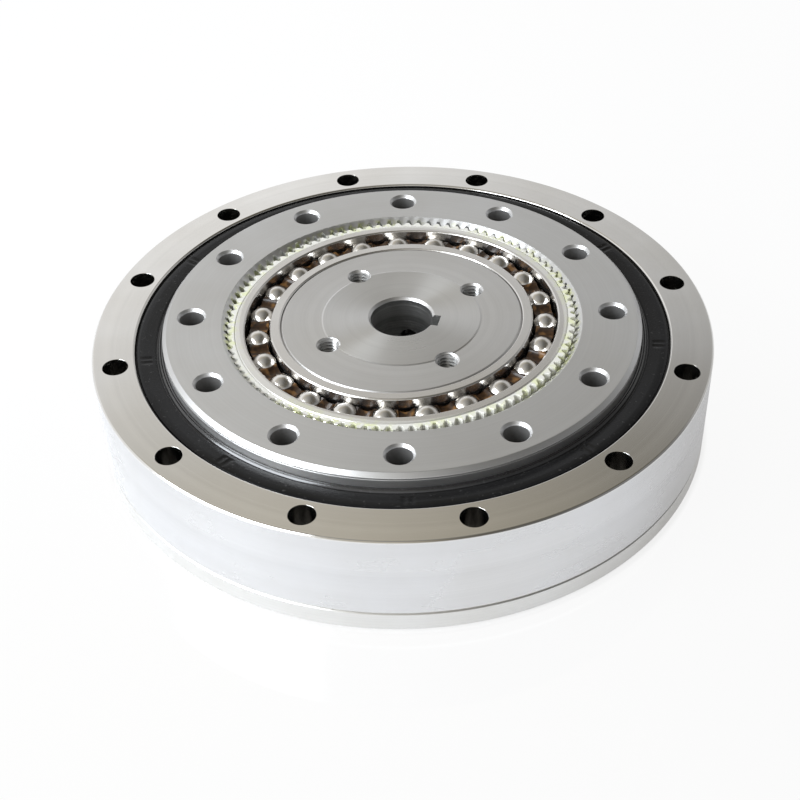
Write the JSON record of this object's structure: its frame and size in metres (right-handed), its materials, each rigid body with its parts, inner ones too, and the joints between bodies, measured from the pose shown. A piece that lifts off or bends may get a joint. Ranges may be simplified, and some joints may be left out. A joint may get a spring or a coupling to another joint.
{
  "type": "strain wave gear",
  "caption": "Flat strain wave gear unit: oval ball-bearing wave generator, hat-shaped flexspline, toothed output ring on crossed rollers, flanged outer ring and shaft seal.",
  "frame": {"origin": "on the gear's axis, in the plane of the brim's lower face", "axes": "+Z along the axis towards the output face, +X through one of the outer bolt holes"},
  "size_m": [0.11, 0.11, 0.022],
  "materials": {
    "ground_steel": "ground and turned bearing steel",
    "satin_steel": "satin turned steel",
    "flex_steel": "fine turned alloy steel",
    "race_steel": "ground bearing race",
    "polished_steel": "polished bearing steel",
    "dark_steel": "blackened steel",
    "seal_rubber": "smooth moulded nitrile rubber",
    "spacer_plastic": "moulded spacer plastic",
    "cage_phenolic": "turned fabric phenolic, oiled"
  },
  "bodies": {
    "housing": {"outer_ring": "ground_steel", "roller_plug": "ground_steel", "plug_pin": "dark_steel", "seal_lip": "seal_rubber", "seal_case": "dark_steel", "seal_spring": "polished_steel", "flexspline": "flex_steel", "brim_o_ring": "seal_rubber", "brim_screws": "dark_steel", "outer_race": "race_steel"},
    "output": {"output_ring": "satin_steel"},
    "roller_set": {"rollers_out": "polished_steel", "rollers_in": "polished_steel", "roller_spacers": "spacer_plastic"},
    "wave_generator": {"cam_hub": "satin_steel", "inner_race": "race_steel", "set_screws": "dark_steel"},
    "ball_set": {"balls": "polished_steel", "ball_cage": "cage_phenolic"}
  },
  "joints": [
    {"name": "output_turn", "type": "hinge", "parent": "housing", "child": "output", "pos_m": [0, 0, 0.0098], "axis": [0, 0, 1], "continuous": true},
    {"name": "roller_turn", "type": "hinge", "parent": "housing", "child": "roller_set", "pos_m": [0, 0, 0.0098], "axis": [0, 0, 1], "continuous": true},
    {"name": "input_turn", "type": "hinge", "parent": "housing", "child": "wave_generator", "pos_m": [0, 0, 0.0186], "axis": [0, 0, 1], "continuous": true, "deforming": ["flexspline", "outer_race", "balls", "ball_cage"]},
    {"name": "ball_turn", "type": "hinge", "parent": "housing", "child": "ball_set", "pos_m": [0, 0, 0.0186], "axis": [0, 0, 1], "continuous": true}
  ],
  "couplings": [
    {"joint": "roller_turn", "follows": "output_turn", "ratio": 0.48415},
    {"joint": "input_turn", "follows": "output_turn", "ratio": 51},
    {"joint": "ball_turn", "follows": "output_turn", "ratio": 23.128}
  ]
}
